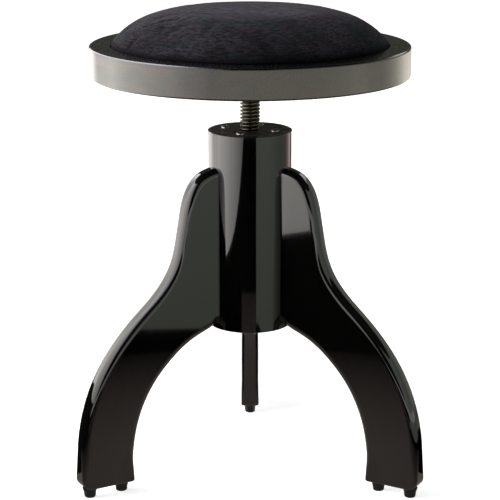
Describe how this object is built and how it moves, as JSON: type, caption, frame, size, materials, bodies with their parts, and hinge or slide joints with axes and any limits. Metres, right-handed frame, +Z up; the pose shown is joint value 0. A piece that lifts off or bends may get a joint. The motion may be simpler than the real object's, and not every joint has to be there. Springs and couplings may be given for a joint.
{
  "type": "revolving piano stool",
  "caption": "Round upholstered stool on a turned column with swept legs; the seat turns on a screw spindle that raises and lowers it.",
  "frame": {"origin": "on the axis of the column and spindle, at floor level under the glides", "axes": "+Z up along the spindle; the back leg points along +Y, and +X is to the right seen from the front"},
  "size_m": [0.3818, 0.3906, 0.5241],
  "materials": {
    "black_lacquer": "high-gloss black lacquer on wood",
    "beech": "bare beech",
    "glide_plastic": "satin black moulded plastic",
    "zinc_steel": "bright zinc-plated steel",
    "dark_steel": "turned steel, blackened and mottled",
    "thread_steel": "oiled dark steel thread",
    "nylon": "natural nylon",
    "black_enamel": "black stoved enamel",
    "stained_board": "plywood stained black, satin",
    "plywood": "bare birch plywood",
    "foam": "upholstery foam",
    "velvet": "black cotton velvet"
  },
  "bodies": {
    "base": {"column": "black_lacquer", "nut_plate": "dark_steel", "nut_plate_screws": "zinc_steel", "leg_right": "black_lacquer", "leg_left": "black_lacquer", "leg_back": "black_lacquer", "dowels_right": "beech", "dowels_left": "beech", "dowels_back": "beech", "glide_right_outer": "glide_plastic", "glide_right_inner": "glide_plastic", "glide_left_outer": "glide_plastic", "glide_left_inner": "glide_plastic", "glide_back_outer": "glide_plastic", "glide_back_inner": "glide_plastic", "glide_nails": "zinc_steel"},
    "lift": {"stop_washer": "nylon"},
    "seat": {"spindle": "thread_steel", "stop_keeper": "zinc_steel", "stop_screw": "zinc_steel", "seat_flange": "black_enamel", "flange_screws": "zinc_steel", "seat_ring": "black_lacquer", "seat_board": "stained_board", "ring_screws": "zinc_steel", "cushion_board": "plywood", "cushion_foam": "foam", "cushion_cover": "velvet", "cover_staples": "zinc_steel", "cushion_screws": "zinc_steel"}
  },
  "joints": [
    {"name": "seat_lift", "type": "slide", "parent": "base", "child": "lift", "axis": [0, 0, 1], "range_m": [-0.04, 0.06]},
    {"name": "seat_turn", "type": "hinge", "parent": "lift", "child": "seat", "pos_m": [0, 0, 0.3914], "axis": [0, 0, 1], "range_deg": [-3600, 5400]}
  ],
  "couplings": [
    {"joint": "seat_lift", "follows": "seat_turn", "m_per_rad": 0.0006366}
  ]
}
